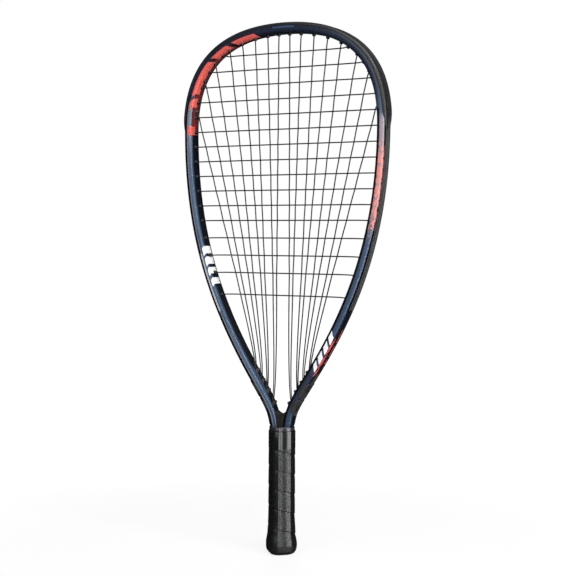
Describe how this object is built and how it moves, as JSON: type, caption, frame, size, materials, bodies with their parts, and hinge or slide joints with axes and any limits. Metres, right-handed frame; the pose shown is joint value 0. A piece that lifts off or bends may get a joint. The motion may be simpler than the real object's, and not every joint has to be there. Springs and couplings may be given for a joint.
{
  "type": "racquetball racket",
  "caption": "Teardrop-headed racquetball racket with a woven string bed, crown bumper guard, spiral-wrapped octagonal grip and flared butt cap.",
  "frame": {"origin": "middle of the flat butt end, on the handle's axis", "axes": "+Z along the handle towards the crown, +Y square to the string bed away from the pictured face, +X across the face to the right in the picture"},
  "size_m": [0.2426, 0.0342, 0.5588],
  "materials": {
    "frame_lacquer": "gloss metallic navy lacquer over carbon-fibre tube, blue front face",
    "nylon_guard": "moulded nylon, satin",
    "nylon_strip": "moulded nylon, satin",
    "insert_plastic": "moulded plastic, satin",
    "string_nylon": "dark multifilament string with a light coat",
    "handle_foam": "rigid foam, moulded on the shafts",
    "grip_leatherette": "perforated synthetic leather band",
    "collar_rubber": "matt moulded rubber",
    "cap_plastic": "moulded soft plastic, satin",
    "staple_steel": "drawn steel wire"
  },
  "bodies": {
    "root": {"frame_tube": "frame_lacquer", "bumper_guard": "nylon_guard", "grommet_strip_left": "nylon_strip", "grommet_strip_right": "nylon_strip", "throat_grommet_left": "nylon_strip", "throat_grommet_right": "nylon_strip", "throat_insert": "insert_plastic", "main_string": "string_nylon", "cross_string": "string_nylon", "handle_pallet_front": "handle_foam", "handle_pallet_back": "handle_foam", "grip_wrap": "grip_leatherette", "shaft_collar": "collar_rubber", "butt_cap": "cap_plastic", "butt_cap_staple_front": "staple_steel", "butt_cap_staple_back": "staple_steel"}
  },
  "joints": []
}
